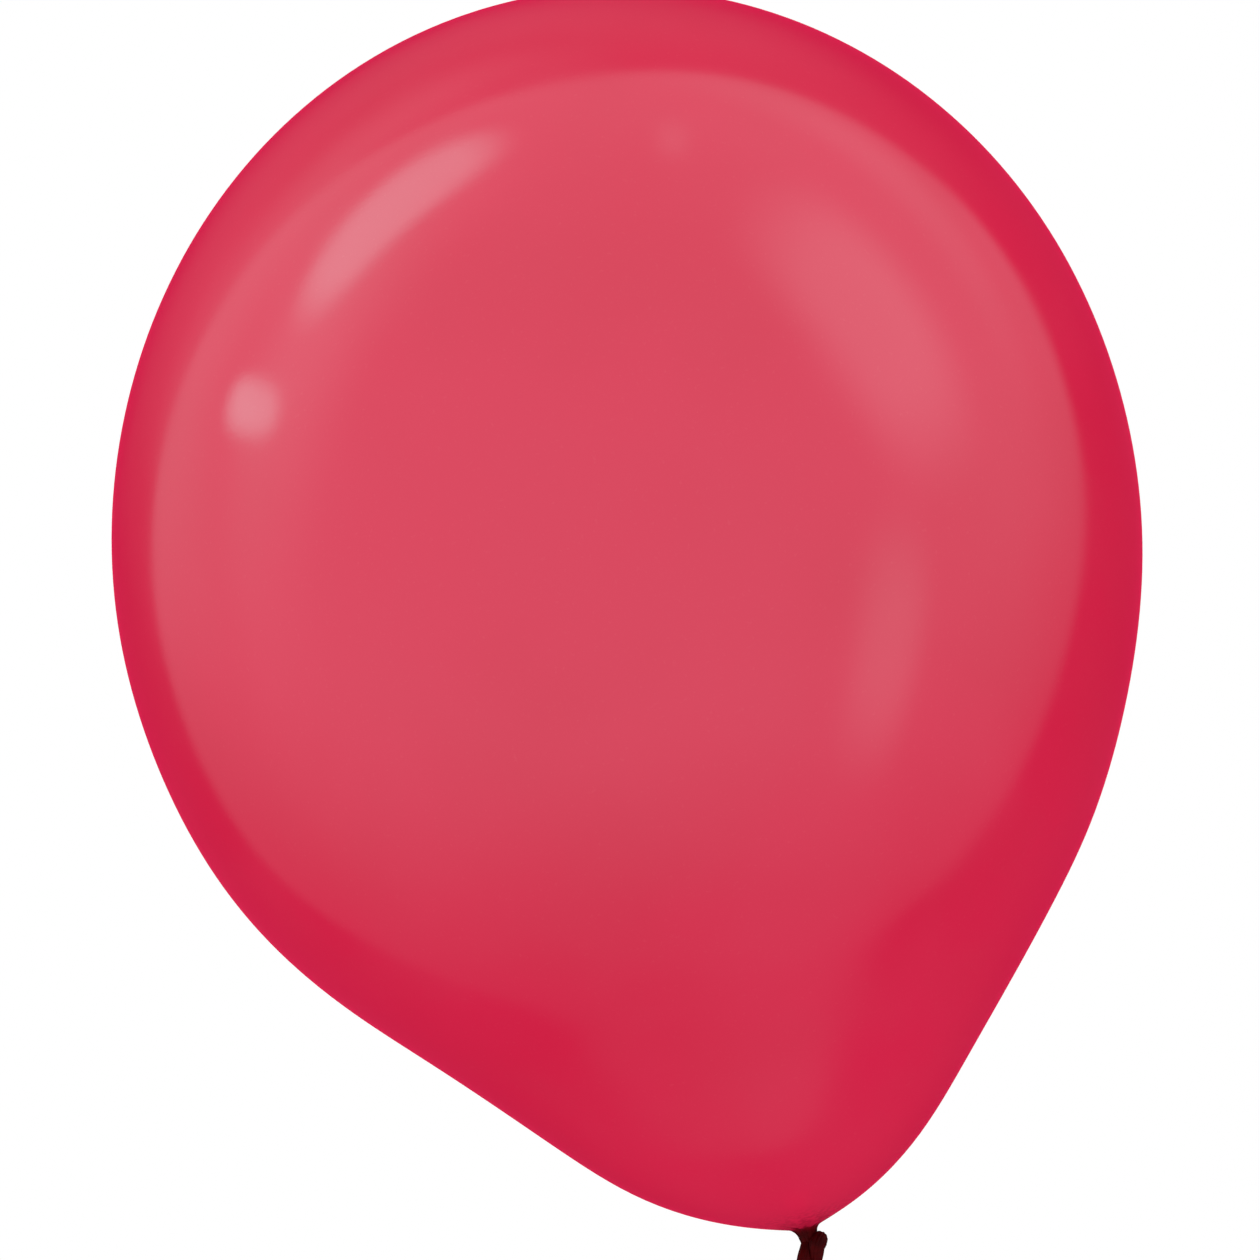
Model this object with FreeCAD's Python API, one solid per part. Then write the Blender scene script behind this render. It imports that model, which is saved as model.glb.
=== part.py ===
import FreeCAD, Part
import math
import os

# Round latex party balloon, inflated to 300 mm, tied with an overhand knot.
#
# Frame: millimetres, +Z up along the balloon's long axis, from the knot to the crown.  The origin is
# the middle of the waist of the gathered neck, where a ribbon is tied.  The envelope is above it,
# and the knot, the loose tail of the neck and the rolled lip are below it.
#
# The real balloon is one dipped latex skin.  It is split here where it bends:
#   envelope     thin closed skin, a pear of revolution
#   neck_gather  the skin bunched into a short cord between the envelope and the knot
#   knot_core    the strand that runs down through the knot
#   knot_loop    the turns of neck that wrap the strand
#   neck_tail    the neck left over below the knot, flared into an open tube
#   rolled_lip   the bead rolled into the edge of the mouth
# The neck_gather and the tail have round ends that sit in shallow round seats, so that the balloon
# can lean on its knot and the tail can swing, with the same small gap all the way.

Vector = FreeCAD.Vector
Z_AXIS = Vector(0, 0, 1)

# ---- driving dimensions, mm -------------------------------------------------------------------
# envelope
ENVELOPE_DIAMETER = 300.0
WIDEST_HEIGHT = 209.0
CROWN_RISE = 161.0
FLANK_RADIUS = 181.5
TAPER_HALF_ANGLE = 42.5
BASE_RADIUS = 98.0
SKIN = 0.5

# gathered neck, and the round seats around its two ends
GATHER_RADIUS = 2.5
GATHER_HALF_LENGTH = 1.2
SEAT_GAP = 0.3
SEAT_RIM_ANGLE = 60.0

# knot
CORE_RADIUS = 3.0
KNOT_BOTTOM = -11.6
# each turn: height of its centre, sideways offset, ring radius, strand radius, tilt in degrees
KNOT_TURNS = [
    (-5.5, 0.4, 3.3, 1.7, -18.0),
    (-8.3, -0.8, 3.7, 1.9, 22.0),
]

# tail and lip
MOUTH_HEIGHT = -36.0
TAIL_RADIUS = 6.0
TAIL_WALL = 0.5
TAIL_EXIT_ANGLE = 125.0
FLARE_END = -23.0
FLARE_BEND_RADIUS = 8.0
CAVITY_TOP = -18.0
CAVITY_CONE_END = -24.8
BEAD_RADIUS = 1.0
BEAD_OVERHANG = 0.4

# ---- sizes that follow from them ---------------------------------------------------------------
SEAT_RADIUS = GATHER_RADIUS + SEAT_GAP
SEAT_RIM_DROP = SEAT_RADIUS * math.cos(math.radians(SEAT_RIM_ANGLE))
TOP_PIVOT = GATHER_HALF_LENGTH
LOW_PIVOT = -GATHER_HALF_LENGTH
KNOT_TOP = LOW_PIVOT - SEAT_RIM_DROP
TAIL_PIVOT = KNOT_BOTTOM - SEAT_RIM_DROP


def point(radius, height):
    """A point of a half outline, in the XZ plane."""
    return Vector(radius, 0, height)


def on_circle(centre, radius, degrees):
    """The point of a circle in the XZ plane, at an angle measured from straight up."""
    turn = math.radians(degrees)
    return centre + Vector(radius * math.sin(turn), 0, radius * math.cos(turn))


def line(start, end):
    return Part.LineSegment(start, end).toShape()


def arc(centre, radius, start_degrees, end_degrees):
    """Arc about centre, with its angles measured from straight up."""
    middle = (start_degrees + end_degrees) / 2
    stops = [on_circle(centre, radius, a) for a in (start_degrees, middle, end_degrees)]
    return Part.Arc(*stops).toShape()


def revolved(edges):
    """The solid made by turning a closed half outline about Z."""
    face = Part.Face(Part.Wire(edges))
    return face.revolve(Vector(0, 0, 0), Z_AXIS, 360)


def ball(height, radius):
    return Part.makeSphere(radius, Vector(0, 0, height))


# ---- envelope ----------------------------------------------------------------------------------
def pear(inset):
    """The filled balloon, drawn in by inset: crown, flank, straight taper and rounded base."""
    widest = ENVELOPE_DIAMETER / 2
    taper = math.radians(TAPER_HALF_ANGLE)
    centre = point(0, WIDEST_HEIGHT)

    # crown: a quarter of an ellipse, from the top to the widest circle
    crown_top = point(0, WIDEST_HEIGHT + CROWN_RISE - inset)
    equator = point(widest - inset, WIDEST_HEIGHT)
    ellipse = Part.Ellipse(crown_top, equator, centre)
    crown = Part.ArcOfEllipse(ellipse, 0, math.pi / 2).toShape()

    # flank: tangent arc from the widest circle down to the taper
    flank_centre = point(widest - FLANK_RADIUS, WIDEST_HEIGHT)
    flank = arc(flank_centre, FLANK_RADIUS - inset, 90, 90 + TAPER_HALF_ANGLE)
    flank_end = on_circle(flank_centre, FLANK_RADIUS, 90 + TAPER_HALF_ANGLE)

    # base: tangent to the taper and through the rim of the seat around the neck
    along = point(-math.sin(taper), -math.cos(taper))
    inward = point(-math.cos(taper), math.sin(taper))
    rim = on_circle(point(0, TOP_PIVOT), SEAT_RADIUS, SEAT_RIM_ANGLE)
    reach = (rim - flank_end).dot(along)
    offset = (rim - flank_end).dot(inward)
    taper_length = reach - math.sqrt(offset * (2 * BASE_RADIUS - offset))
    taper_end = flank_end + along * taper_length
    base_centre = taper_end + inward * BASE_RADIUS
    base_radius = BASE_RADIUS - inset
    axis_angle = 180 - math.degrees(math.asin(-base_centre.x / base_radius))
    base_axis = on_circle(base_centre, base_radius, axis_angle)
    base = arc(base_centre, base_radius, 90 + TAPER_HALF_ANGLE, axis_angle)

    straight = line(flank_end + inward * inset, taper_end + inward * inset)
    closing = line(base_axis, crown_top)
    return revolved([crown, flank, straight, base, closing])


def make_envelope():
    outer = pear(0).cut(ball(TOP_PIVOT, SEAT_RADIUS))
    inner = pear(SKIN).cut(ball(TOP_PIVOT, SEAT_RADIUS + SKIN))
    return outer.cut(inner)


# ---- gathered neck -----------------------------------------------------------------------------
def make_neck_gather():
    top, low = point(0, TOP_PIVOT), point(0, LOW_PIVOT)
    return revolved([
        arc(top, GATHER_RADIUS, 0, 90),
        line(on_circle(top, GATHER_RADIUS, 90), on_circle(low, GATHER_RADIUS, 90)),
        arc(low, GATHER_RADIUS, 90, 180),
        line(on_circle(low, GATHER_RADIUS, 180), on_circle(top, GATHER_RADIUS, 0)),
    ])


# ---- knot --------------------------------------------------------------------------------------
def make_knot_core():
    """The strand through the knot, with a round seat in each end."""
    strand = Part.makeCylinder(CORE_RADIUS, KNOT_TOP - KNOT_BOTTOM, Vector(0, 0, KNOT_BOTTOM))
    return strand.cut(ball(LOW_PIVOT, SEAT_RADIUS)).cut(ball(TAIL_PIVOT, SEAT_RADIUS))


def make_knot_loop():
    """The turns around the strand: tilted rings that cross, cut to fit the strand face to face."""
    rings = []
    for height, offset, ring_radius, strand_radius, tilt in KNOT_TURNS:
        ring = Part.makeTorus(ring_radius, strand_radius)
        ring.rotate(Vector(0, 0, 0), Vector(0, 1, 0), tilt)
        ring.translate(Vector(offset, 0, height))
        rings.append(ring)
    turns = rings[0].fuse(rings[1:])
    bore = Part.makeCylinder(CORE_RADIUS, 40, Vector(0, 0, KNOT_BOTTOM - 20))
    return turns.cut(bore).removeSplitter()


# ---- tail and lip ------------------------------------------------------------------------------
def make_neck_tail():
    """A round end in the knot's seat, a flare, and an open tube whose cavity is a blind bore."""
    pivot = point(0, TAIL_PIVOT)
    leave = on_circle(pivot, GATHER_RADIUS, TAIL_EXIT_ANGLE)
    knee = point(TAIL_RADIUS, FLARE_END)
    flare = (knee - leave).normalize()
    bend = math.acos(-flare.z)
    trim = FLARE_BEND_RADIUS * math.tan(bend / 2)
    bend_centre = knee + point(-FLARE_BEND_RADIUS, -trim)
    bend_edge = arc(bend_centre, FLARE_BEND_RADIUS, 90 - math.degrees(bend), 90)
    bore_radius = TAIL_RADIUS - TAIL_WALL
    outline = [
        arc(pivot, GATHER_RADIUS, 0, TAIL_EXIT_ANGLE),
        line(leave, knee - flare * trim),
        bend_edge,
        line(knee - point(0, trim), point(TAIL_RADIUS, MOUTH_HEIGHT)),
        line(point(TAIL_RADIUS, MOUTH_HEIGHT), point(bore_radius, MOUTH_HEIGHT)),
        line(point(bore_radius, MOUTH_HEIGHT), point(bore_radius, CAVITY_CONE_END)),
        line(point(bore_radius, CAVITY_CONE_END), point(0, CAVITY_TOP)),
        line(point(0, CAVITY_TOP), on_circle(pivot, GATHER_RADIUS, 0)),
    ]
    return revolved(outline)


def make_rolled_lip():
    """The bead around the mouth, seated on the outside of the tube."""
    bead = Part.makeTorus(TAIL_RADIUS + BEAD_OVERHANG, BEAD_RADIUS)
    bead.translate(Vector(0, 0, MOUTH_HEIGHT + BEAD_RADIUS))
    tube = Part.makeCylinder(TAIL_RADIUS, 4 * BEAD_RADIUS, Vector(0, 0, MOUTH_HEIGHT - BEAD_RADIUS))
    return bead.cut(tube)


# ---- export ------------------------------------------------------------------------------------
NODES = {
    "envelope": make_envelope,
    "neck_gather": make_neck_gather,
    "knot_core": make_knot_core,
    "knot_loop": make_knot_loop,
    "neck_tail": make_neck_tail,
    "rolled_lip": make_rolled_lip,
}


def main():
    os.makedirs("parts", exist_ok=True)
    print(f"pivots at z = {TOP_PIVOT}, {LOW_PIVOT} and {TAIL_PIVOT:.2f} mm")
    for name, make in NODES.items():
        shape = make()
        box = shape.BoundBox
        print(
            f"{name}: valid {shape.isValid()}, {len(shape.Solids)} solid, "
            f"{shape.Volume:.1f} mm3, x {box.XMin:.2f} to {box.XMax:.2f}, "
            f"z {box.ZMin:.2f} to {box.ZMax:.2f}"
        )
        shape.exportStep(f"parts/{name}.step")


main()
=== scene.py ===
import math

import bpy
import numpy as np
from mathutils import Matrix, Vector


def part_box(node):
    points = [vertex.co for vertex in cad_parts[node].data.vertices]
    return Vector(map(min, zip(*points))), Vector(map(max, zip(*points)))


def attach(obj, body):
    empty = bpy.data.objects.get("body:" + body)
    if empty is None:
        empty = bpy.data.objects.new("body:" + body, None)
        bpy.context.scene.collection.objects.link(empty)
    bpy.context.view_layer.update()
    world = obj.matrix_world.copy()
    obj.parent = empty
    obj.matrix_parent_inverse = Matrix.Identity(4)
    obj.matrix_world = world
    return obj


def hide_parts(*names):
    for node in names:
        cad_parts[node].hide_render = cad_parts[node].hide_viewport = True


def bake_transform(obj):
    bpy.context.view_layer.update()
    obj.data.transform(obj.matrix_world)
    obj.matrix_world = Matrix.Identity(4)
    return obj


# A tied, inflated latex balloon.  The frame is in metres, +Z towards the crown, and its origin is the
# waist of the gathered neck.  Five pieces of skin stand for the six CAD nodes:
#   envelope_skin  the stretched pear, with pleats around its throat
#   gather_skin    the bunched neck between the envelope and the knot
#   overhand_knot  one strand tied in an overhand knot and pulled tight
#   tail_skin      the loose neck below the knot, open at its mouth
#   lip_bead       the bead rolled into the mouth

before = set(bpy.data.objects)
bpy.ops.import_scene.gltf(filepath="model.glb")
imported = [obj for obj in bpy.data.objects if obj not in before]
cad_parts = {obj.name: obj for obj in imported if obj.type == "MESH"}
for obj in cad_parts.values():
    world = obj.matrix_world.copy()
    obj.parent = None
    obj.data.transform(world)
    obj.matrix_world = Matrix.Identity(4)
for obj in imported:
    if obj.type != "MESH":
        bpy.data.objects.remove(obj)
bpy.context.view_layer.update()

MM = 0.001

envelope_low, envelope_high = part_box("envelope")
gather_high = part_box("neck_gather")[1]
knot_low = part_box("knot_core")[0]
tail_low, tail_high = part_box("neck_tail")
lip_low, lip_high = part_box("rolled_lip")

# ---- driving dimensions ------------------------------------------------------------------------
# envelope
CROWN_HEIGHT = envelope_high.z
WIDEST_RADIUS = envelope_high.y
WIDEST_HEIGHT = 209 * MM
FLANK_RADIUS = 181.5 * MM
TAPER_HALF_ANGLE = math.radians(42.5)
BASE_RADIUS = 98 * MM
SKIN = 0.4 * MM
BOW = 4.3 * MM                  # how far the pear's middle bows towards -X
SWAY = 1.4 * MM                 # a slight S in its lower half

# throat and gathered neck
NECK_RADIUS = gather_high.x + 0.4 * MM      # over the ridges of the pleats
THROAT_FILLET = 3.2 * MM
ENVELOPE_END = -0.2 * MM        # where the envelope's skin hands over to the gather's
PLEATS = 14
PLEAT_DEPTH = 0.42 * MM         # at the throat and on the gathered neck
AROUND = 14 * PLEATS            # points around a ring of pleated skin
MATT_LENGTH = 4.1               # mm along the skin that are as matt and dark as the gather
GLOSS_BAND = 0.9                # mm along the skin for each step from matt to glossy
GLOSS_STEPS = (0.12, 0.24, 0.38, 0.54, 0.7, 0.85)

# knot
STRAND_RADIUS = 2.3 * MM
STRAND_SPACING = 2.7 * MM       # between the middles of two stretches that press together
SAME_STRETCH = 1.6 * STRAND_SPACING         # points nearer than this along the strand don't press
STRAND_STEP = 0.25 * MM         # between two rings of the strand's mesh
KNOT_PLEAT_DEPTH = 0.3 * MM
LOOSE_KNOT_SIZE = 1.3 * MM
KNOT_MIDDLE = -5.2 * MM
KNOT_LEAN = 1.1 * MM            # how far the middle of the knot hangs towards -X
TIGHTENING_STEPS = 110
SHORTENING = 0.985              # of a span's length in each step
STRAIGHTENING = 0.12
SEPARATING = 0.4
UPRIGHT_ENDS = 1.8 * MM         # of the strand, above and below the knot

# tail and lip
MOUTH_RADIUS = 6.0 * MM
MOUTH_HEIGHT = tail_low.z
TAIL_WALL = 0.5 * MM
TAIL_PLEAT_DEPTH = 0.36 * MM    # below the knot: they fade out towards the mouth
SOLID_TAIL = 6.4                # mm of tail below the knot that are bunched shut
BEAD_RADIUS = (lip_high.z - lip_low.z) / 2
BEAD_OVERHANG = 0.4 * MM
MOUTH_LOBES = 3                 # the gentle waves around the mouth
MOUTH_WAVE = 0.16 * MM


# ---- mesh helpers ------------------------------------------------------------------------------
def lofted(name, rings, cap_start=False, cap_end=False, close_rings=False):
    """A smooth mesh through rings of points, rings[i, j], with its first and last ring capped,
    joined to each other, or left open."""
    rings = np.asarray(rings, float)
    count, around = rings.shape[:2]
    points = rings.reshape(-1, 3)
    rows = np.arange(count if close_rings else count - 1)[:, None]
    columns = np.arange(around)[None, :]
    here, beside = rows * around + columns, rows * around + (columns + 1) % around
    step = ((rows + 1) % count) * around
    above, above_beside = step + columns, step + (columns + 1) % around
    faces = np.stack([here, beside, above_beside, above], -1).reshape(-1, 4).tolist()
    extra = []
    for wanted, first, flip in ((cap_start, 0, True), (cap_end, (count - 1) * around, False)):
        if wanted:
            tip = len(points) + len(extra)
            extra.append(points[first:first + around].mean(0))
            edge = [(first + j, first + (j + 1) % around) for j in range(around)]
            faces += [(b, a, tip) if flip else (a, b, tip) for a, b in edge]
    if extra:
        points = np.vstack([points, extra])
    mesh = bpy.data.meshes.new(name)
    mesh.from_pydata(points.tolist(), [], faces)
    mesh.polygons.foreach_set("use_smooth", [True] * len(mesh.polygons))
    mesh.update()
    piece = bpy.data.objects.new(name, mesh)
    bpy.context.scene.collection.objects.link(piece)
    return piece


def mark(piece, name, values):
    """Stores a number or a vector at every point, which stays with the skin when it bends."""
    values = np.asarray(values, np.float32)
    kind, key = ("FLOAT_VECTOR", "vector") if values.ndim == 2 else ("FLOAT", "value")
    attribute = piece.data.attributes.new(name, kind, "POINT")
    attribute.data.foreach_set(key, values.ravel())


def mark_rest(piece):
    """Stores each point's place at rest, so that a pattern doesn't slide when the skin bends."""
    place = np.zeros(len(piece.data.vertices) * 3, np.float32)
    piece.data.vertices.foreach_get("co", place)
    mark(piece, "rest_place", place.reshape(-1, 3))


def resampled(points, step):
    """The same open line with points one step apart."""
    points = np.asarray(points, float)
    lengths = np.linalg.norm(np.diff(points, axis=0), axis=1)
    along = np.concatenate([[0], np.cumsum(lengths)])
    stops = np.linspace(0, along[-1], max(2, int(round(along[-1] / step)) + 1))
    return np.stack([np.interp(stops, along, points[:, k]) for k in range(points.shape[1])], -1)


def eased(outline, reach, step):
    """An outline from the axis outwards, with its heading blurred over reach so that its curvature
    has no steps, and with the same ends."""
    outline = resampled(outline, step)
    move = np.diff(outline, axis=0)
    heading = np.unwrap(np.arctan2(move[:, 1], move[:, 0]))
    span = int(math.ceil(3 * reach / step))
    kernel = np.exp(-0.5 * (np.arange(-span, span + 1) * step / reach) ** 2)
    padded = np.concatenate([-heading[span - 1::-1], heading, np.full(span, heading[-1])])
    heading = np.convolve(padded, kernel / kernel.sum(), "valid")
    length = np.linalg.norm(move, axis=1)[:, None]
    line = np.vstack([[0, 0], np.cumsum(length * np.stack([np.cos(heading), np.sin(heading)], -1), 0)])
    line += outline[0]
    drift = outline[-1] - line[-1]
    return line + np.linspace(0, 1, len(line))[:, None] * drift


def pleat_wave(angle):
    """Rounded ridges with sharp grooves between them, unevenly spaced: 0 on a ridge, -1 in a groove."""
    uneven = angle + 0.13 * np.sin(2 * angle + 0.7) + 0.06 * np.sin(5 * angle + 2.1)
    depth = 0.75 + 0.25 * np.sin(3 * angle + 1.9)
    return (np.abs(np.cos(uneven * PLEATS / 2)) ** 0.7 - 1) * depth


# ---- envelope ----------------------------------------------------------------------------------
def pear_outline():
    """Radius and height of the skin from the crown to the neck: an ellipse, an arc, a straight taper,
    a rounded base and the fillet into the neck, eased into one curve."""
    crown = np.radians(np.linspace(0, 90, 120))
    rise = CROWN_HEIGHT - WIDEST_HEIGHT
    line = [(WIDEST_RADIUS * math.sin(a), WIDEST_HEIGHT + rise * math.cos(a)) for a in crown]

    centre = np.array([WIDEST_RADIUS - FLANK_RADIUS, WIDEST_HEIGHT])
    turn = np.linspace(0, TAPER_HALF_ANGLE, 60)[1:]
    line += [centre + FLANK_RADIUS * np.array([math.cos(a), -math.sin(a)]) for a in turn]
    flank_end = np.array(line[-1])

    # the base is tangent to the taper and passes through the rim of the neck's seat
    along = np.array([-math.sin(TAPER_HALF_ANGLE), -math.cos(TAPER_HALF_ANGLE)])
    inward = np.array([-math.cos(TAPER_HALF_ANGLE), math.sin(TAPER_HALF_ANGLE)])
    rim = np.array([NECK_RADIUS, envelope_low.z])
    reach, offset = (rim - flank_end) @ along, (rim - flank_end) @ inward
    taper_end = flank_end + along * (reach - math.sqrt(offset * (2 * BASE_RADIUS - offset)))
    base_centre = taper_end + inward * BASE_RADIUS

    # the fillet touches the base from below and ends upright on the neck
    fillet_x = NECK_RADIUS + THROAT_FILLET - base_centre[0]
    fillet_drop = math.sqrt((BASE_RADIUS + THROAT_FILLET) ** 2 - fillet_x ** 2)
    fillet_centre = base_centre + np.array([fillet_x, -fillet_drop])
    meet = math.atan2(fillet_drop, fillet_x)
    for a in np.linspace(TAPER_HALF_ANGLE, meet, 60):
        line.append(base_centre + BASE_RADIUS * np.array([math.cos(a), -math.sin(a)]))
    body = eased(line, reach=9 * MM, step=1 * MM)

    start = body[-1]
    fillet = [
        fillet_centre + THROAT_FILLET * np.array([-math.cos(a), math.sin(a)])
        for a in np.linspace(meet, 0, 24)
    ]
    fillet = np.array(fillet) - fillet[0] + start
    neck = [fillet[-1], (fillet[-1][0], ENVELOPE_END)]
    throat = resampled(np.vstack([fillet, neck]), 0.25 * MM)
    return body, throat


def bowed(points):
    """Moves points sideways so that the pear's middle line bows a little towards -X."""
    height = np.clip(points[..., 2], 0, CROWN_HEIGHT)
    share = height / CROWN_HEIGHT
    bow = BOW * np.sin(np.pi * share) * (1 + 0.5 * np.cos(np.pi * share))

    # the sway's wave is 115 mm long, and fades out upwards and, within 6 mm, at the neck
    wave = np.cos(2 * np.pi * (height - 22 * MM) / (115 * MM)) * np.exp(-(height / (135 * MM)) ** 2)
    sway = SWAY * wave * (1 - np.exp(-height / (6 * MM)))
    points[..., 0] -= bow + sway
    return points


def around_axis(outline, angles, push):
    """Rings of points: the outline turned about Z, moved along its own normal by push[i, j]."""
    run = np.gradient(outline, axis=0)
    run /= np.linalg.norm(run, axis=1)[:, None]
    outward = np.stack([-run[:, 1], run[:, 0]], -1)
    radius = outline[:, :1] + outward[:, :1] * push
    height = outline[:, 1:] + outward[:, 1:] * push
    return np.stack([radius * np.cos(angles), radius * np.sin(angles), height], -1)


def envelope_outline():
    """The skin's line from beside the pole to the neck, with closer points towards the throat, how
    far along the skin each point is from the line's end, and how much of that is the throat."""
    body, throat = pear_outline()
    closer = 30                 # how many of the body's points, 1 mm apart, count as near the throat
    coarse = resampled(body[:1 - closer], 4 * MM)
    fine = resampled(body[-closer:], 0.5 * MM)
    outline = np.vstack([coarse[:-1], fine[:-1], throat])
    outline = outline[1:]       # the pole is the cap's own point
    lengths = np.linalg.norm(np.diff(outline, axis=0), axis=1)
    from_throat = np.concatenate([np.cumsum(lengths[::-1])[::-1], [0]])
    throat_length = np.linalg.norm(np.diff(throat, axis=0), axis=1).sum()
    return outline, from_throat, throat_length


def make_envelope():
    outline, from_throat, throat_length = envelope_outline()

    # the pleats have their full depth in the throat and fade out over the base
    beyond = np.clip(from_throat - throat_length, 0, None)
    fading = 0.7 * np.exp(-(beyond / (5 * MM)) ** 2) + 0.3 * np.exp(-beyond / (8 * MM))
    depth = PLEAT_DEPTH * fading
    angles = np.linspace(0, 2 * np.pi, AROUND, endpoint=False)
    push = depth[:, None] * pleat_wave(angles)[None, :]
    outer = bowed(around_axis(outline, angles[None, :], push))

    # the inside is one wall further in, and the wall thins out at the throat's end
    thickness = SKIN * np.clip(from_throat / (2 * MM), 0.05, 1)[:, None]
    inner = bowed(around_axis(outline, angles[None, :], push - thickness))
    piece = lofted("envelope_skin", np.concatenate([outer, inner[::-1]]), True, True)
    mark_rest(piece)

    # each point's distance from the throat in mm, and how deep in a groove it is, which sets painted
    # shade in the grooves: the poles come last
    along = np.concatenate([from_throat, from_throat[::-1]])
    marks = np.concatenate([np.repeat(along, AROUND), [from_throat[0], from_throat[0]]])
    mark(piece, "from_throat", marks / MM)
    groove = np.concatenate([np.tile(-pleat_wave(angles), 2 * len(outline)), [0, 0]])
    mark(piece, "groove", groove)
    return piece


# ---- gathered neck -----------------------------------------------------------------------------
def make_gather():
    """A short pleated cord, tucked into the envelope's neck above and into the knot below."""
    # heights, each with the cord's share of the neck's radius
    stations = [
        (ENVELOPE_END + 1.4 * MM, 0.80), (ENVELOPE_END + 0.7 * MM, 0.90), (ENVELOPE_END, 0.985),
        (-0.6 * MM, 0.96), (-1.4 * MM, 0.90), (-2.2 * MM, 0.80), (-3.0 * MM, 0.68), (-3.6 * MM, 0.55),
    ]
    outline = resampled([(NECK_RADIUS * share, height) for height, share in stations], 0.2 * MM)
    angles = np.linspace(0, 2 * np.pi, AROUND, endpoint=False)
    push = np.broadcast_to(PLEAT_DEPTH * pleat_wave(angles), (len(outline), AROUND))
    piece = lofted("gather_skin", bowed(around_axis(outline, angles[None, :], push)), True, True)
    mark_rest(piece)
    return piece


# ---- knot --------------------------------------------------------------------------------------
def tied_line():
    """The middle line of a tight overhand knot between two upright ends: a loose knot whose spans
    shorten step by step, while no two stretches of the strand may come too close."""
    # the loose knot is a trefoil's formula, and its first and last eighth lead to the two ends
    t = np.linspace(-2.15, 2.15, 110)
    line = np.stack([3 * t - t ** 3, 2 + t ** 4 - 4 * t ** 2, 0.3 * (10 * t - t ** 5)], -1)
    line = line * LOOSE_KNOT_SIZE + [0, 0, KNOT_MIDDLE]
    top, bottom = np.array([0, 0, 0.6 * MM]), np.array([0, 0, tail_high.z - 2.6 * MM])
    share = np.linspace(0, 1, len(line))[:, None]
    line += (top - line[0]) * np.clip(1 - 8 * share, 0, 1) ** 2
    line += (bottom - line[-1]) * np.clip(8 * share - 7, 0, 1) ** 2
    order = np.arange(len(line))
    for _ in range(TIGHTENING_STEPS):
        # each span pulls itself a little shorter, and each bend straightens a little
        spans = np.diff(line, axis=0)
        length = np.linalg.norm(spans, axis=1)
        rest = length.mean() * SHORTENING
        pull = spans / length[:, None] * (length - rest)[:, None] * 0.5
        line[:-1] += pull
        line[1:] -= pull
        line[1:-1] += STRAIGHTENING * (line[:-2] + line[2:] - 2 * line[1:-1])

        # stretches that are too close push each other apart, and both ends stay upright
        for _ in range(3):
            length = np.linalg.norm(np.diff(line, axis=0), axis=1).mean()
            gap = max(4, int(SAME_STRETCH / length))
            between = line[:, None] - line[None, :]
            distance = np.linalg.norm(between, axis=2) + 1e-9
            near = (distance < STRAND_SPACING) & (np.abs(order[:, None] - order[None, :]) > gap)
            shift = np.where(near, (STRAND_SPACING - distance) / distance, 0)[..., None] * between
            line += SEPARATING * shift.sum(1) / np.maximum(near.sum(1), 1)[:, None]
            upright = max(1, int(round(UPRIGHT_ENDS / length)))
            steps_down = np.arange(upright + 1)[:, None] * length * np.array([0, 0, 1])
            line[:upright + 1] = top - steps_down
            line[-upright - 1:] = bottom + steps_down[::-1]
    return line


def frame_along(line):
    """Two directions square to the line at each of its points, carried along it without a twist."""
    run = np.gradient(line, axis=0)
    run /= np.linalg.norm(run, axis=1)[:, None]
    side = np.zeros_like(run)
    side[0] = (1, 0, 0)
    for i in range(1, len(line)):
        side[i] = side[i - 1] - run[i] * (side[i - 1] @ run[i])
        side[i] /= np.linalg.norm(side[i])
    return side, np.cross(side, run)


def pressed_together(line, circle, radius):
    """The strand's radius where two stretches press together: each stops at the plane half way
    between them."""
    clearance = 0.02 * MM
    order = np.arange(len(line))
    reach = int(SAME_STRETCH / STRAND_STEP)
    for i in order:
        others = np.abs(order - i) > reach
        gap = line[others] - line[i]
        distance = np.linalg.norm(gap, axis=1)
        close = distance < 2.6 * STRAND_RADIUS
        if close.any():
            facing = circle[i] @ (gap[close] / distance[close][:, None]).T
            stop = (distance[close] / 2 - clearance)[None, :] / np.clip(facing, 0.05, None)
            radius[i] = np.minimum(radius[i], stop.min(1))
    for _ in range(3):
        radius[1:-1] = (radius[:-2] + 2 * radius[1:-1] + radius[2:]) / 4
    return radius


def pressed_on_neck(turns):
    """Flattens the strand where one of its turns passes the gathered neck."""
    out = np.linalg.norm(turns[..., :2], axis=-1)
    beside = np.clip((turns[..., 2] + 2.6 * MM) / MM, 0, 1)
    push = beside * np.clip((NECK_RADIUS - 0.1 * MM) / out - 1, 0, None)
    turns[..., :2] *= 1 + push[..., None]
    return turns


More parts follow.
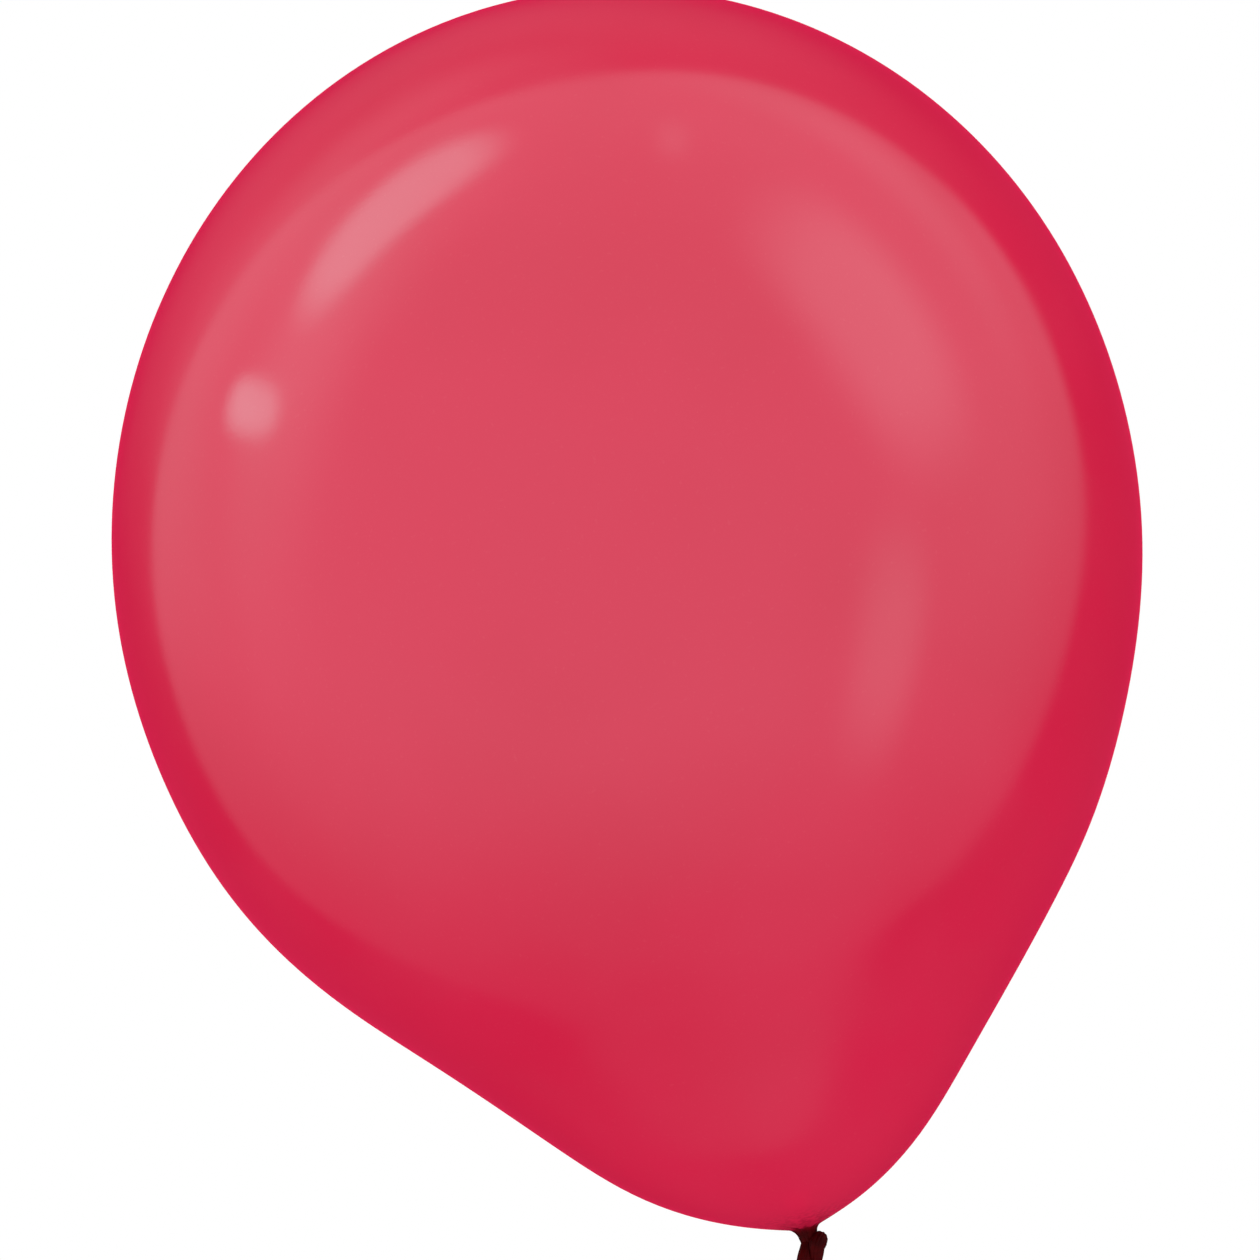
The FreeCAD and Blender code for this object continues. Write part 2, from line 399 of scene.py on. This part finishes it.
def make_knot():
    line = resampled(tied_line(), STRAND_STEP)
    for _ in range(6):
        line[1:-1] = (line[:-2] + 2 * line[1:-1] + line[2:]) / 4

    # its middle is drawn out a little along X, and hangs towards -X
    hang = np.exp(-((line[:, 2] + 7.5 * MM) / (3.2 * MM)) ** 2)
    line[:, 0] = line[:, 0] * (1 + 0.12 * hang) - KNOT_LEAN * hang

    # the pleats run on from the gathered neck, and turn on the way so that they meet the tail's
    count = len(line)
    side, other = frame_along(line)
    twist = math.atan2(side[-1] @ np.array([0, 1, 0]), side[-1] @ np.array([1, 0, 0]))
    angles = np.linspace(0, 2 * np.pi, AROUND, endpoint=False)
    turned = angles[None, :] - twist * np.linspace(0, 1, count)[:, None]
    circle = side[:, None] * np.cos(turned)[..., None] + other[:, None] * np.sin(turned)[..., None]

    # the strand is a little uneven, and slimmer at its two ends
    from_top = np.arange(count) * STRAND_STEP
    from_end = np.minimum(from_top, from_top[::-1])
    plump = STRAND_RADIUS * (1 + 0.05 * np.sin(from_top / (3.6 * MM)))
    plump *= 0.6 + 0.4 * np.clip(from_end / (3.2 * MM), 0, 1) ** 0.8
    radius = plump[:, None] + KNOT_PLEAT_DEPTH * pleat_wave(angles)[None, :]
    radius = pressed_together(line, circle, radius)
    rings = line[:, None] + circle * radius[..., None]

    # the strand's first 4 mm lie inside the gathered neck, and the rest passes around it
    below = from_top > 4 * MM
    rings[below] = pressed_on_neck(rings[below])
    piece = lofted("overhand_knot", rings[:, ::-1], True, True)
    mark_rest(piece)
    return piece


# ---- tail and lip ------------------------------------------------------------------------------
def tail_outline():
    """Radius and height of the tail, from inside the knot to the mouth."""
    bottom = knot_low.z
    # heights, each with the tail's radius there
    stations = [
        (bottom + 1.6 * MM, 1.2 * MM), (bottom, 1.75 * MM), (bottom - 1.6 * MM, 2.1 * MM),
        (bottom - 4 * MM, 2.9 * MM), (bottom - 7 * MM, 4.3 * MM), (bottom - 10 * MM, 5.4 * MM),
        (bottom - 14 * MM, 5.95 * MM), (bottom - 19 * MM, 6.05 * MM), (MOUTH_HEIGHT + 0.6 * MM, 6.0 * MM),
    ]
    line = resampled([(r, z) for z, r in stations], 0.3 * MM)

    # a smooth line through the stations, with the same two ends
    kernel = np.hanning(15)
    padded = np.pad(line, ((7, 7), (0, 0)), mode="reflect", reflect_type="odd")
    return np.stack([np.convolve(padded[:, k], kernel / kernel.sum(), "valid") for k in (0, 1)], -1)


def mouth_wave(angles):
    """The gentle waves around the mouth, which the tail and the bead share."""
    return MOUTH_WAVE * np.sin(MOUTH_LOBES * angles + 0.6)


def make_tail():
    outline = tail_outline()
    angles = np.linspace(0, 2 * np.pi, AROUND, endpoint=False)
    down = (knot_low.z - outline[:, 1]) / MM
    depth = TAIL_PLEAT_DEPTH * np.exp(-np.clip(down, 0, None) / 6.5)
    push = depth[:, None] * pleat_wave(angles)[None, :]
    push = push + np.clip(down / 20, 0, 1)[:, None] ** 2 * mouth_wave(angles)[None, :]
    outer = around_axis(outline, angles[None, :], push)

    # the inside starts as a point on the axis and opens until only the wall is left
    hollow = down > SOLID_TAIL
    share = np.clip((down[hollow] - SOLID_TAIL) / 5, 0, 1)[:, None]
    closing = outline[hollow, :1] * (1 - share) + TAIL_WALL * share
    inner = around_axis(outline[hollow], angles[None, :], push[hollow] - closing)
    piece = lofted("tail_skin", np.concatenate([outer, inner[::-1]]), True, True)
    mark_rest(piece)
    return piece


def make_lip():
    around, section = 160, 28
    angles = np.linspace(0, 2 * np.pi, around, endpoint=False)
    turn = np.linspace(0, 2 * np.pi, section, endpoint=False)
    ring_radius = MOUTH_RADIUS + BEAD_OVERHANG + mouth_wave(angles)
    bead = BEAD_RADIUS * (0.93 + 0.05 * np.sin(5 * angles + 1) + 0.02 * np.sin(11 * angles))
    height = MOUTH_HEIGHT + BEAD_RADIUS + 0.05 * MM * np.sin(2 * angles)
    radius = ring_radius[:, None] + bead[:, None] * np.cos(turn)[None, :]
    level = height[:, None] + bead[:, None] * np.sin(turn)[None, :]
    rings = np.stack([radius * np.cos(angles)[:, None], radius * np.sin(angles)[:, None], level], -1)
    piece = lofted("lip_bead", rings, close_rings=True)
    mark_rest(piece)
    return piece


# ---- materials ---------------------------------------------------------------------------------
def linear(red, green, blue):
    """A colour given in 0-255 screen values, as the linear one a shader takes."""
    def one(v):
        v /= 255
        return v / 12.92 if v <= 0.04045 else ((v + 0.055) / 1.055) ** 2.4
    return (one(red), one(green), one(blue), 1.0)


class Nodes:
    """A short way to add shader nodes and join them."""

    def __init__(self, tree):
        self.tree = tree
        tree.nodes.clear()

    def add(self, kind, inputs=None, **settings):
        node = self.tree.nodes.new(kind)
        for name, value in settings.items():
            setattr(node, name, value)
        for key, value in (inputs or {}).items():
            if isinstance(value, bpy.types.NodeSocket):
                self.tree.links.new(value, node.inputs[key])
            else:
                node.inputs[key].default_value = value
        return node

    def math(self, operation, *values):
        return self.add("ShaderNodeMath", dict(enumerate(values)), operation=operation).outputs[0]

    def remap(self, value, low, high, to_low, to_high, smooth=True):
        node = self.add(
            "ShaderNodeMapRange",
            {0: value, 1: low, 2: high, 3: to_low, 4: to_high},
            interpolation_type="SMOOTHSTEP" if smooth else "LINEAR",
        )
        return node.outputs[0]

    def noise(self, place, scale, detail=2.0, rough=0.5):
        node = self.add("ShaderNodeTexNoise", {"Vector": place, "Scale": scale, "Detail": detail,
                                               "Roughness": rough})
        return node.outputs[0]

    def mix(self, share, first, second):
        node = self.add("ShaderNodeMix", {0: share, 6: first, 7: second}, data_type="RGBA")
        return node.outputs[2]

    def attribute(self, name, output):
        return self.add("ShaderNodeAttribute", attribute_name=name).outputs[output]

    def bump(self, strength, depth, height):
        node = self.add("ShaderNodeBump", {"Strength": strength, "Distance": depth, "Height": height})
        return node.outputs[0]

    def output(self, kind, shader):
        self.add(kind, {0: shader.outputs[0]})


def new_material(name):
    material = bpy.data.materials.new(name)
    material.use_nodes = True
    return material, Nodes(material.node_tree)


def envelope_latex(name, gloss):
    """Glossy pearl latex, darker towards the throat: thicker skin and painted shade of its fold and
    grooves, with dark puckers.
    """
    material, n = new_material(name)
    place = n.attribute("rest_place", "Vector")
    throat = n.attribute("from_throat", "Fac")

    # the stretched skin: crimson, with a faint clouding and fine specks
    cloud = n.noise(place, 9.0, 3.0)
    speck = n.noise(place, 900.0, 2.0)
    crimson = n.mix(n.remap(cloud, 0.35, 0.65, 0.0, 1.0), linear(221, 31, 71), linear(225, 35, 76))
    crimson = n.mix(n.remap(speck, 0.6, 0.8, 0.0, 0.10), crimson, linear(238, 90, 110))

    # darker close to the throat, partly as the thicker skin there and partly as painted shade in the
    # neck's fold,
    #     # and darker in its grooves as painted shade; and then with puckers that thin out
    near = n.math("ADD", throat, n.math("MULTIPLY", n.attribute("groove", "Fac"), -2.6))
    thick_and_shaded = n.mix(n.remap(near, 2.0, 7.0, 0.0, 1.0), linear(60, 2, 5), linear(170, 16, 46))
    colour = n.mix(n.remap(near, 3.0, 17.0, 0.0, 1.0), thick_and_shaded, crimson)
    pucker = n.remap(n.noise(place, 620.0, 3.0), 0.42, 0.62, 0.0, 1.0)
    colour = n.mix(n.math("MULTIPLY", pucker, n.remap(throat, 3.0, 28.0, 0.7, 0.0)), colour,
                   linear(132, 10, 34))

    rough = n.remap(n.noise(place, 30.0, 4.0), 0.3, 0.7, 0.10, 0.15)
    grain = n.bump(0.05, 0.2 * MM, n.noise(place, 700.0))
    shader = n.add("ShaderNodeBsdfPrincipled", {
        "Base Color": colour, "Roughness": rough, "IOR": 1.5, "Normal": grain,
        "Specular IOR Level": gloss, "Sheen Weight": 1.0, "Sheen Roughness": 0.28,
        "Sheen Tint": linear(255, 42, 94),
    })
    n.output("ShaderNodeOutputMaterial", shader)
    return material


def neck_latex(name, bunched_and_shaded, relaxed):
    """Matt rubber: dark where it is bunched, partly as thick rubber and partly as painted shade under the
    envelope and in its tiny wrinkles, and redder where it relaxes into the tail and into the envelope's
    throat."""
    material, n = new_material(name)
    place = n.attribute("rest_place", "Vector")
    height = n.add("ShaderNodeSeparateXYZ", {0: place}).outputs["Z"]
    tail = n.remap(height, knot_low.z - 8 * MM, knot_low.z, 1.0, 0.0)
    relaxing = n.math("MAXIMUM", tail, n.remap(height, 1.2 * MM, 4.6 * MM, 0.0, 1.0))
    cloud = n.remap(n.noise(place, 260.0, 4.0), 0.3, 0.7, 0.0, 1.0)
    # the bunched colour is partly painted shade, of the envelope above and of the rubber's tiny wrinkles
    dark = n.mix(cloud, linear(*bunched_and_shaded), linear(*[v * 1.4 for v in bunched_and_shaded]))
    red = n.mix(cloud, linear(*relaxed), linear(*[v * 1.25 for v in relaxed]))
    rough = n.remap(n.noise(place, 900.0, 4.0), 0.3, 0.7, 0.38, 0.52)
    grain = n.bump(0.25, 0.1 * MM, n.noise(place, 2600.0))
    shader = n.add("ShaderNodeBsdfPrincipled", {
        "Base Color": n.mix(relaxing, dark, red), "Roughness": rough, "IOR": 1.5,
        "Specular IOR Level": 0.04, "Normal": grain,
    })
    n.output("ShaderNodeOutputMaterial", shader)
    return material


def give_gloss(piece, matt):
    """Gives the envelope its materials.  Each material has one gloss all over, so the gloss grows
    from the matt throat in narrow rings, and each ring has a material of its own."""
    slots = piece.data.materials
    slots.append(matt)
    for number, gloss in enumerate(GLOSS_STEPS):
        slots.append(envelope_latex(f"stretching_latex_{number}", gloss))
    slots.append(envelope_latex("stretched_pearl_latex", 1.0))
    from_throat = piece.data.attributes["from_throat"].data
    for face in piece.data.polygons:
        beyond = from_throat[face.vertices[0]].value - MATT_LENGTH
        ring = math.ceil(beyond / GLOSS_BAND)
        face.material_index = min(max(ring, 0), len(GLOSS_STEPS) + 1)


# ---- pieces ------------------------------------------------------------------------------------
# its bunched colour is partly painted shade, of the envelope above and of the rubber's tiny wrinkles
unstretched = neck_latex("unstretched_latex", (54, 2, 4), (118, 8, 28))

envelope_skin = make_envelope()
give_gloss(envelope_skin, unstretched)
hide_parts("envelope")
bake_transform(envelope_skin)

gather_skin = make_gather()
gather_skin.data.materials.append(unstretched)
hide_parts("neck_gather")
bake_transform(gather_skin)

overhand_knot = make_knot()
overhand_knot.data.materials.append(unstretched)
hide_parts("knot_core", "knot_loop")
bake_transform(overhand_knot)

tail_skin = make_tail()
tail_skin.data.materials.append(unstretched)
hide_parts("neck_tail")
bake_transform(tail_skin)

lip_bead = make_lip()
lip_bead.data.materials.append(unstretched)
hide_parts("rolled_lip")
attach(lip_bead, "tail")


# ---- studio ------------------------------------------------------------------------------------
LEAN = math.radians(13.7)        # the crown leans to the left in the picture
CAMERA_DISTANCE = 1.9
FRAME_WIDTH = 367.6 * MM         # what the picture spans at the balloon
FRAME_CENTRE = Vector((-8.7 * MM, 0, 184.2 * MM))
RIGHT = Vector((math.cos(LEAN), 0, -math.sin(LEAN)))
UP = Vector((math.sin(LEAN), 0, math.cos(LEAN)))
TOWARDS_CAMERA = Vector((0, -1, 0))
FLOOR_HEIGHT = -3.0              # the balloon floats far above it
WHITE = (1, 1, 1, 1)
CLOTH_COLOUR = (0.65, 1, 1, 1)   # what the gloss mirrors is a little cool
LAMP_COLOUR = (0.36, 1, 1, 1)

# The tent's oval edge, by the cosine of the angle from the camera's direction: where it fades, how its
# two ends curve towards the camera, how much its top differs from its bottom, and where it swells or
# draws in, by the turn in the picture and how far.
TENT_EDGE = (-0.67, -0.60)
TENT_CURVE = -0.5
TENT_SLOPE = 0.04
TENT_LOBES = ((140, 0.16), (80, -0.07), (20, -0.045), (228, -0.08))

# Each softbox is a full ellipse: the angle of its middle from the camera's direction, its turn in the
# picture, the tilt of its length, and its half length and half width, all in degrees; then how much
# of it is soft, its strength, and whether it is a bare, cooler lamp.
SOFTBOX_FULLNESS = 2.6           # the power of the ellipse's formula: 2 is a plain one
SOFTBOXES = (
    (91.5, 129, 214, 23.8, 9.8, 0.45, 2.35, True),      # long strip, upper left
    (96, 162.6, 162.6, 11, 4.7, 0.5, 3.0, True),        # small lamp, left
    (86, 150, 238, 54, 21, 0.9, 0.7, False),            # glow around them
    (118, 166, 253, 44, 20, 1.0, 0.3, False),           # its spill towards the back, left
    (113, 126, 216, 40, 17, 1.0, 0.5, False),           # and above the strip
    (87, 82, 82, 8, 4, 0.8, 0.5, False),                # small spot, top
    (73.5, 39, 123, 33, 21, 0.65, 1.15, False),         # large softbox, upper right
    (109, 56, 146, 44, 9, 0.9, 0.34, False),            # faint arc beyond it
    (62, -17, 90, 26, 12, 0.75, 0.78, False),           # upright strip, right
    (86, 286, 14, 42, 16, 1.0, 0.12, False),            # faint bounce from below
)


def make_camera():
    data = bpy.data.cameras.new("camera")
    data.lens = data.sensor_width * CAMERA_DISTANCE / FRAME_WIDTH
    data.clip_end = 100
    camera = bpy.data.objects.new("camera", data)
    bpy.context.scene.collection.objects.link(camera)
    place = Matrix((RIGHT, UP, TOWARDS_CAMERA)).transposed().to_4x4()
    place.translation = FRAME_CENTRE + TOWARDS_CAMERA * CAMERA_DISTANCE
    camera.matrix_world = place
    bpy.context.scene.camera = camera


def direction(from_camera, turn):
    """A direction by its angle from the camera's and its turn in the picture, from right to up."""
    a, t = math.radians(from_camera), math.radians(turn)
    return TOWARDS_CAMERA * math.cos(a) + (RIGHT * math.cos(t) + UP * math.sin(t)) * math.sin(a)


def tent_glow(n, toward):
    """An oval of white cloth around the front, dimmer at its sides, which fades out towards the
    floor, with a haze beyond its top and its left."""
    front = toward(TOWARDS_CAMERA)
    high = toward(direction(90, 115))
    curve = n.math("MULTIPLY", n.math("MULTIPLY", high, high), TENT_CURVE)
    slope = n.math("MULTIPLY", high, TENT_SLOPE)
    edge = n.math("ADD", front, n.math("ADD", curve, slope))
    for turn, reach in TENT_LOBES:
        lobe = n.math("MAXIMUM", toward(direction(90, turn)), 0)
        edge = n.math("ADD", edge, n.math("MULTIPLY", lobe, reach))
    tent = n.remap(edge, *TENT_EDGE, 0, 1)
    sides = n.remap(front, -0.6, 0.0, 0.5, 1)
    cloth = n.remap(toward(direction(125, 281)), -0.1, 1.12, 1.34, 0.0)
    haze = n.remap(toward(direction(60, 120)), -0.3, 0.4, 0, 0.25)
    return n.math("MAXIMUM", n.math("MULTIPLY", tent, n.math("MULTIPLY", cloth, sides)), haze)


def softbox_glow(n, toward, from_camera, turn, tilt, half_length, half_width, soft, strength):
    """One softbox's light, from its full middle to its soft rim, and none on the sky's other side."""
    middle = direction(from_camera, turn).normalized()
    tangent = RIGHT * math.cos(math.radians(tilt)) + UP * math.sin(math.radians(tilt))
    tangent = (tangent - middle * tangent.dot(middle)).normalized()
    terms = []
    for axis, half in ((tangent, half_length), (middle.cross(tangent), half_width)):
        share = n.math("DIVIDE", toward(axis), math.sin(math.radians(half)))
        terms.append(n.math("POWER", n.math("ABSOLUTE", share), SOFTBOX_FULLNESS))
    distance = n.math("POWER", n.math("ADD", *terms), 1 / SOFTBOX_FULLNESS)
    spot = n.remap(distance, 1 - soft, 1, strength, 0)
    return n.math("MULTIPLY", spot, n.math("GREATER_THAN", toward(middle), 0))


def make_world():
    """Even light for the skin's own colour, and a light tent with softboxes for its gloss to mirror."""
    world = bpy.data.worlds.new("light_tent")
    world.cycles.sampling_method = "NONE"
    bpy.context.scene.world = world
    world.use_nodes = True
    n = Nodes(world.node_tree)
    ray = n.add("ShaderNodeTexCoord").outputs["Generated"]

    def toward(vector):
        node = n.add("ShaderNodeVectorMath", {0: ray, 1: tuple(vector)}, operation="DOT_PRODUCT")
        return node.outputs["Value"]

    # the light that the gloss mirrors, and the bare lamps' share of it, which is cooler
    light = tent_glow(n, toward)
    lamps = 0
    for *shape, is_lamp in SOFTBOXES:
        spot = softbox_glow(n, toward, *shape)
        light = n.math("ADD", light, spot)
        if is_lamp:
            lamps = n.math("ADD", lamps, spot)
    cool = n.math("DIVIDE", lamps, light)

    # all of it is half as bright in front and beside the balloon as far behind it
    behind = n.math("MINIMUM", toward(TOWARDS_CAMERA), 0)
    dimmer = n.math("MULTIPLY_ADD", n.math("MULTIPLY", behind, behind), 0.5, 0.5)
    light = n.math("MULTIPLY", light, dimmer)

    # the light for the skin's own colour is brightest from behind and above
    diffuse_ray = n.add("ShaderNodeLightPath").outputs["Is Diffuse Ray"]
    even = n.remap(toward(direction(157, 110)), -1, 1, 0.86, 1.37, smooth=False)
    strength = n.add("ShaderNodeMix", {0: diffuse_ray, 2: light, 3: even}).outputs[0]
    colour = n.mix(diffuse_ray, n.mix(cool, CLOTH_COLOUR, LAMP_COLOUR), WHITE)
    shader = n.add("ShaderNodeBackground", {"Color": colour, "Strength": strength})
    n.output("ShaderNodeOutputWorld", shader)


def make_backdrop():
    """A white dome that only the camera sees."""
    bpy.ops.mesh.primitive_uv_sphere_add(radius=12, segments=48, ring_count=24)
    dome = bpy.context.object
    dome.name = "backdrop"
    material, n = new_material("backdrop_white")
    n.output("ShaderNodeOutputMaterial", n.add("ShaderNodeEmission", {"Color": WHITE, "Strength": 1.0}))
    dome.data.materials.append(material)
    for ray in ("diffuse", "glossy", "transmission", "volume_scatter", "shadow"):
        setattr(dome, "visible_" + ray, False)


def make_floor():
    """A pale floor that throws no light back up, so that it leaves the gloss as it is."""
    place = (0, 0, FLOOR_HEIGHT)
    bpy.ops.mesh.primitive_circle_add(vertices=96, radius=5, fill_type="NGON", location=place)
    floor = bpy.context.object
    floor.name = "floor"
    material, n = new_material("floor_white")
    diffuse = n.add("ShaderNodeBsdfDiffuse", {"Color": (0.8, 0.8, 0.8, 1)})
    glow = n.add("ShaderNodeEmission", {"Color": WHITE, "Strength": 0.45})
    both = n.add("ShaderNodeAddShader", {0: diffuse.outputs[0], 1: glow.outputs[0]})
    n.output("ShaderNodeOutputMaterial", both)
    floor.data.materials.append(material)
    floor.visible_diffuse = False
    floor.visible_glossy = False


make_camera()
make_world()
make_backdrop()
make_floor()
bpy.context.scene.view_settings.view_transform = "Standard"
